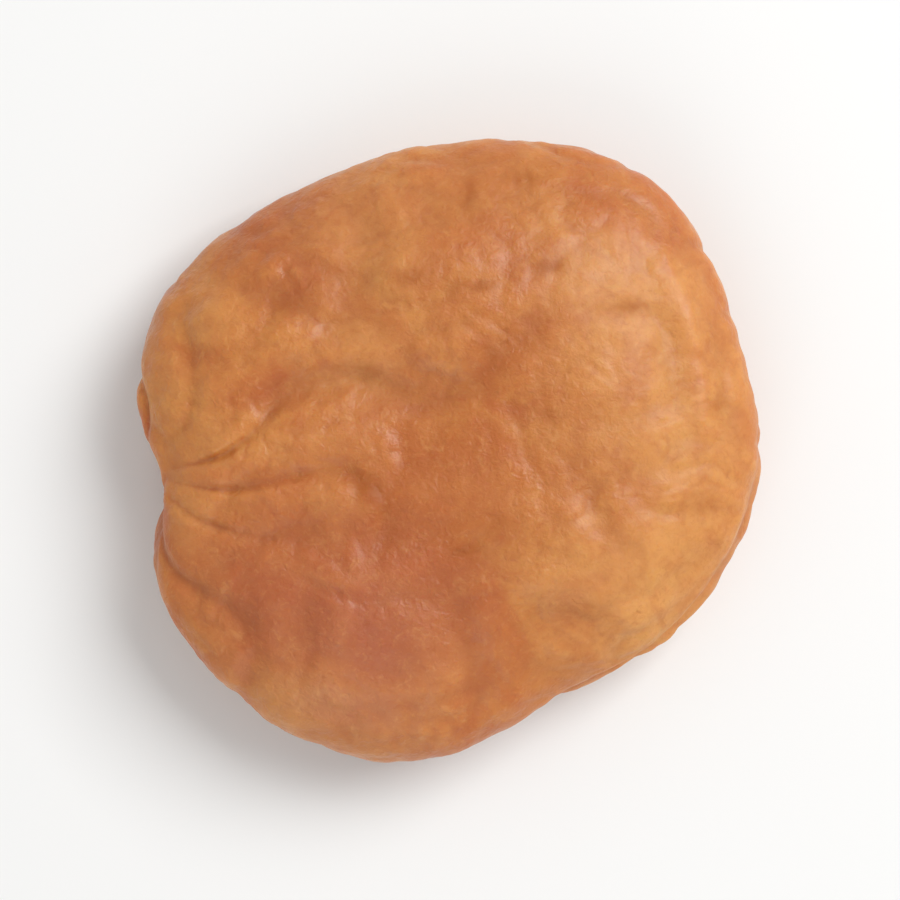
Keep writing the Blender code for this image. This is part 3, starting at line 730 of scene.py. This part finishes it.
def make_skin_material(finish):
    """Translucent orange flesh under thin crinkled skin: mottles, fine lines, a few flecks, painted shade in
    valleys, painted light on ridges and rim.
    """
    material = bpy.data.materials.new("apricot_skin")
    material.use_nodes = True
    shader = Shader(material.node_tree)
    principled = material.node_tree.nodes["Principled BSDF"]
    place = shader.node("ShaderNodeTexCoord").outputs["Object"]
    in_mm = shader.node("ShaderNodeMapping", {"Vector": place, "Scale": (1 / MM,) * 3}).outputs[0]
    ripe, rosy, pale_and_lit, relief, fleck = (
        shader.node("ShaderNodeAttribute", attribute_name=name).outputs["Fac"]
        for name in ("ripe", "rosy", "pale_and_lit", "relief", "fleck")
    )

    # Broad blotches between the lighter and the deeper flesh
    blotches = shader.speckle(in_mm, BLOTCHES)["Fac"]
    deep = shader.maths("ADD", shader.remap(blotches, BLOTCH_DEEP), ripe)
    colour = shader.mix(shader.maths("MINIMUM", deep, 1.0), (*finish.flesh, 1), (*finish.deep_flesh, 1))
    colour = shader.mix(rosy, colour, (*finish.rosy_flesh, 1))
    # The paler places, partly paler flesh and partly painted light along the rim
    colour = shader.mix(pale_and_lit, colour, (*finish.pale_flesh_and_light, 1))

    # Mottles, fibres finer than those, and a broken net of thin deeper lines
    mottles = shader.speckle(in_mm, MOTTLES)["Fac"]
    colour = shader.tint(colour, mottles, MOTTLE_DEEP, finish.deep_flesh)
    colour = shader.tint(colour, mottles, MOTTLE_PALE, finish.pale_flesh_and_light)
    fibres = shader.speckle(in_mm, FIBRES)["Fac"]
    colour = shader.tint(colour, fibres, FIBRE_DEEP, finish.crease)
    colour = shader.tint(colour, fibres, FIBRE_PALE, finish.pale_flesh_and_light)
    net = build_net_group()
    cells = place_group(shader, net, Vector=in_mm, Spacing=1.6, Line=0.30, Bend=1.3)
    unbroken = shader.remap(shader.speckle(in_mm, NET_BREAKS)["Fac"], NET_UNBROKEN)
    lines = shader.maths("MULTIPLY", shader.remap(cells, NET_LINE), unbroken)
    colour = shader.mix(lines, colour, (*finish.crease, 1))

    # Painted shade in the valleys, less of it where the flesh is pale, and painted light that makes the
    # ridges a little paler
    valley_shade = shader.maths("MULTIPLY", shader.remap(relief, VALLEY_SHADE), shader.remap(pale_and_lit, VALLEY_ON_PALE))
    colour = shader.mix(valley_shade, colour, (*finish.crease, 1))
    # Painted light on the ridges
    colour = shader.tint(colour, relief, RIDGE_LIGHT, finish.pale_flesh_and_light)

    # Flecks at their places on the top, and a few small ones all over
    small = place_group(shader, build_fleck_group(), Vector=in_mm, Spacing=2.3, Size=0.22, Share=0.14)
    flecks = shader.maths("MAXIMUM", fleck, shader.maths("MULTIPLY", small, SMALL_FLECK_STRENGTH))
    colour = shader.mix(flecks, colour, (*finish.fleck, 1))
    shader.give(principled.inputs["Base Color"], colour)

    # Satin sheen that comes and goes, and is duller where the skin is pale or has a fleck
    patchy = shader.remap(shader.speckle(in_mm, SHEEN)["Fac"], SHEEN_ROUGHNESS)
    roughness = shader.maths("ADD", patchy, shader.remap(pale_and_lit, PALE_ROUGHNESS))
    roughness = shader.maths("ADD", roughness, shader.maths("MULTIPLY", fleck, FLECK_ROUGHNESS))
    shader.give(principled.inputs["Roughness"], roughness)
    unmarked = shader.maths("SUBTRACT", 1.0, fleck)
    coat = shader.maths("MULTIPLY", shader.remap(pale_and_lit, PALE_COAT), unmarked)
    shader.give(principled.inputs["Coat Weight"], coat)
    principled.inputs["Specular IOR Level"].default_value = 0.42
    principled.inputs["Subsurface Weight"].default_value = 0.6
    principled.inputs["Subsurface Radius"].default_value = (3.2, 1.3, 0.45)
    principled.inputs["Subsurface Scale"].default_value = MM
    principled.inputs["Coat Roughness"].default_value = 0.26
    principled.inputs["IOR"].default_value = 1.42

    # Leathery ridges under a millimetre, fine crinkles between them, and a grain finer still
    drawn_out = shader.node("ShaderNodeMapping", {"Vector": in_mm, "Scale": RIDGE_STRETCH}).outputs[0]
    ridges = shader.speckle(drawn_out, RIDGES, kind="RIDGED_MULTIFRACTAL")["Fac"]
    crinkles = place_group(shader, net, Vector=in_mm, Spacing=0.7, Line=0.5, Bend=1.4)
    grain = shader.speckle(in_mm, GRAIN)["Fac"]
    height = shader.maths("ADD", ridges, shader.maths("MULTIPLY", crinkles, CRINKLE_HEIGHT))
    height = shader.maths("ADD", height, shader.maths("MULTIPLY", grain, GRAIN_HEIGHT))
    height = shader.maths("MULTIPLY", height, shader.remap(pale_and_lit, PALE_RELIEF))
    bump = shader.node("ShaderNodeBump", {"Height": height, "Strength": 0.8, "Distance": RIDGE_HEIGHT})
    shader.give(principled.inputs["Normal"], bump.outputs["Normal"])
    return material


def make_fruit(shape, finish):
    """Builds the fruit as one closed mesh object, with what its material reads about each point."""
    ways, quads = box_directions(shape.facets_across, shape.facets_up)
    points, height = wrinkled_form(ways, shape)
    points = fitted(points)
    mesh = bpy.data.meshes.new("apricot")
    mesh.from_pydata(points.tolist(), [], quads.tolist())
    mesh.shade_smooth()
    facts = {
        "relief": np.clip(height / RELIEF_SPAN, -1, 1),
        "ripe": patchwork(points, RIPE_PATCHES),
        "rosy": patchwork(points, ROSY_PATCHES),
        "pale_and_lit": patchwork(points, PALE_AND_LIT_PATCHES),
        "fleck": fleck_marks(points),
    }
    for name, values in facts.items():
        attribute = mesh.attributes.new(name, "FLOAT", "POINT")
        attribute.data.foreach_set("value", values.astype(np.float32))
    mesh.materials.append(make_skin_material(finish))
    fruit = bpy.data.objects.new("apricot", mesh)
    bpy.context.scene.collection.objects.link(fruit)
    return fruit


def make_floor(stage):
    """A wide pale floor just under the fruit."""
    half = stage.floor_width / 2
    corners = [(x * half, y * half, -FLOOR_DROP) for x, y in ((-1, -1), (1, -1), (1, 1), (-1, 1))]
    mesh = bpy.data.meshes.new("floor")
    mesh.from_pydata(corners, [], [(0, 1, 2, 3)])
    material = bpy.data.materials.new("floor_paper")
    material.use_nodes = True
    principled = material.node_tree.nodes["Principled BSDF"]
    principled.inputs["Base Color"].default_value = (*stage.floor_colour, 1)
    principled.inputs["Roughness"].default_value = 0.8
    mesh.materials.append(material)
    floor = bpy.data.objects.new("floor", mesh)
    bpy.context.scene.collection.objects.link(floor)


def make_light(name, place, width, power):
    """A soft square light that faces the fruit."""
    light = bpy.data.lights.new(name, "AREA")
    light.size = width
    light.energy = power
    lamp = bpy.data.objects.new(name, light)
    lamp.location = place
    lamp.rotation_euler = (-Vector(place)).to_track_quat("-Z", "Y").to_euler()
    bpy.context.scene.collection.objects.link(lamp)


def make_camera(stage):
    """A camera straight above the fruit, with +Y up in the picture."""
    camera = bpy.data.cameras.new("camera")
    camera.lens = stage.lens
    camera.clip_start = NEAREST_SEEN
    eye = bpy.data.objects.new("camera", camera)
    middle = (LOW + HIGH) / 2
    distance = stage.view_width * stage.lens / camera.sensor_width
    eye.location = (middle[0], middle[1], middle[2] + distance)
    bpy.context.scene.collection.objects.link(eye)
    bpy.context.scene.camera = eye


def make_world(stage):
    """Pale even light from all round."""
    world = bpy.data.worlds.new("studio")
    world.use_nodes = True
    background = world.node_tree.nodes["Background"]
    background.inputs["Color"].default_value = (1, 1, 1, 1)
    background.inputs["Strength"].default_value = stage.world_light
    bpy.context.scene.world = world


class ApricotShape(bpy.types.PropertyGroup):
    """Sizes of the fruit."""

    mean_radius: FloatProperty(
        name="Mean radius",
        description="From the middle of the fruit to its rim, before the lumps of the outline",
        default=21.2 * MM,
        unit="LENGTH",
        precision=4,
    )
    top_rise: FloatProperty(
        name="Top rise",
        description="From the level of the rim to the crown",
        default=6.6 * MM,
        unit="LENGTH",
        precision=4,
    )
    base_rise: FloatProperty(
        name="Base rise",
        description="From the level of the rim down to the base, before the base is pressed flat",
        default=5.9 * MM,
        unit="LENGTH",
        precision=4,
    )
    fine_crepe_depth: FloatProperty(
        name="Fine crepe depth",
        description="Depth of the finest wrinkles that the mesh holds",
        default=FINE_CREPE.depth,
        unit="LENGTH",
        precision=5,
    )
    facets_across: IntProperty(
        name="Facets across",
        description="Facets across each broad face",
        default=170,
        min=8,
    )
    facets_up: IntProperty(
        name="Facets up",
        description="Facets round the thickness of the rim",
        default=58,
        min=4,
    )


class ApricotFinish(bpy.types.PropertyGroup):
    """Colours of the fruit."""

    flesh: FloatVectorProperty(
        name="Flesh",
        description="Colour of most of the fruit",
        default=(0.60, 0.235, 0.056),
        subtype="COLOR",
        min=0,
        max=1,
    )
    deep_flesh: FloatVectorProperty(
        name="Deep flesh",
        description="Colour where the flesh is thick or riper",
        default=(0.50, 0.145, 0.030),
        subtype="COLOR",
        min=0,
        max=1,
    )
    rosy_flesh: FloatVectorProperty(
        name="Rosy flesh",
        description="Colour where the fruit had a blush",
        default=(0.44, 0.120, 0.052),
        subtype="COLOR",
        min=0,
        max=1,
    )
    # Also painted light: the paler colour along the rim and on the ridges stands in for light through the
    # flesh
    pale_flesh_and_light: FloatVectorProperty(
        name="Pale flesh",
        description="Colour along the rim and on the ridges, where light comes through",
        default=(0.72, 0.360, 0.115),
        subtype="COLOR",
        min=0,
        max=1,
    )
    # Colour of the fine lines, and of the painted shade in the valleys
    crease: FloatVectorProperty(
        name="Crease",
        description="Colour in the valleys and the fine lines",
        default=(0.40, 0.095, 0.022),
        subtype="COLOR",
        min=0,
        max=1,
    )
    fleck: FloatVectorProperty(
        name="Fleck",
        description="Colour of the small brown flecks",
        default=(0.355, 0.086, 0.007),
        subtype="COLOR",
        min=0,
        max=1,
    )


class ApricotStage(bpy.types.PropertyGroup):
    """Floor, light and camera."""

    floor_width: FloatProperty(
        name="Floor width",
        description="Width of the square floor",
        default=4.0,
        unit="LENGTH",
    )
    floor_colour: FloatVectorProperty(
        name="Floor colour",
        description="Colour of the pale floor",
        default=(0.88, 0.88, 0.87),
        subtype="COLOR",
        min=0,
        max=1,
    )
    lens: FloatProperty(
        name="Lens",
        description="Focal length of the camera in millimetres",
        default=100,
    )
    view_width: FloatProperty(
        name="View width",
        description="Width of what the picture shows at the height of the fruit's middle",
        default=62 * MM,
        unit="LENGTH",
        precision=4,
    )
    key_power: FloatProperty(
        name="Key light",
        description="Power of the main light, in watts",
        default=2.9,
    )
    world_light: FloatProperty(
        name="Light from all round",
        description="Strength of the even light",
        default=0.50,
    )


class APRICOT_OT_fruit(bpy.types.Operator):
    """Grows the dried apricot in the place of the plain solid"""

    bl_idname = "apricot.fruit"
    bl_label = "Grow Dried Apricot"

    def execute(self, context):
        fruit = make_fruit(context.scene.apricot_shape, context.scene.apricot_finish)
        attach(fruit, "root")
        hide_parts(SOLID)
        return {"FINISHED"}


class APRICOT_OT_stage(bpy.types.Operator):
    """Sets up the pale floor, the soft light and the camera"""

    bl_idname = "apricot.stage"
    bl_label = "Set Up Stage"

    def execute(self, context):
        stage = context.scene.apricot_stage
        make_floor(stage)
        make_light("key_light", KEY_PLACE, KEY_WIDTH, stage.key_power)
        make_light("fill_light", FILL_PLACE, FILL_WIDTH, FILL_SHARE * stage.key_power)
        make_world(stage)
        make_camera(stage)
        context.scene.view_settings.view_transform = "Standard"
        return {"FINISHED"}


class APRICOT_PT_panel(bpy.types.Panel):
    """Lists the sizes, the colours and the two steps"""

    bl_idname = "APRICOT_PT_panel"
    bl_label = "Dried Apricot"
    bl_space_type = "VIEW_3D"
    bl_region_type = "UI"
    bl_category = "Apricot"

    def draw(self, context):
        for title, settings, operator in (
            ("Shape", context.scene.apricot_shape, None),
            ("Finish", context.scene.apricot_finish, APRICOT_OT_fruit),
            ("Stage", context.scene.apricot_stage, APRICOT_OT_stage),
        ):
            box = self.layout.box()
            box.label(text=title)
            for name in settings.__annotations__:
                box.prop(settings, name)
            if operator:
                box.operator(operator.bl_idname)


CLASSES = (ApricotShape, ApricotFinish, ApricotStage, APRICOT_OT_fruit, APRICOT_OT_stage, APRICOT_PT_panel)


def register():
    """Adds the classes, and their settings to every scene."""
    for cls in CLASSES:
        bpy.utils.register_class(cls)
    bpy.types.Scene.apricot_shape = PointerProperty(type=ApricotShape)
    bpy.types.Scene.apricot_finish = PointerProperty(type=ApricotFinish)
    bpy.types.Scene.apricot_stage = PointerProperty(type=ApricotStage)


def unregister():
    """Takes the settings and the classes away again."""
    del bpy.types.Scene.apricot_stage
    del bpy.types.Scene.apricot_finish
    del bpy.types.Scene.apricot_shape
    for cls in reversed(CLASSES):
        bpy.utils.unregister_class(cls)


def corners(bounds):
    """The lowest and highest corner of a box, as plain lists of numbers."""
    return [list(corner) for corner in bounds]


def main():
    """Grows the fruit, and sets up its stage."""
    register()
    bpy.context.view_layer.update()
    bpy.ops.apricot.fruit()
    bpy.ops.apricot.stage()


if __name__ == "__main__":
    main()
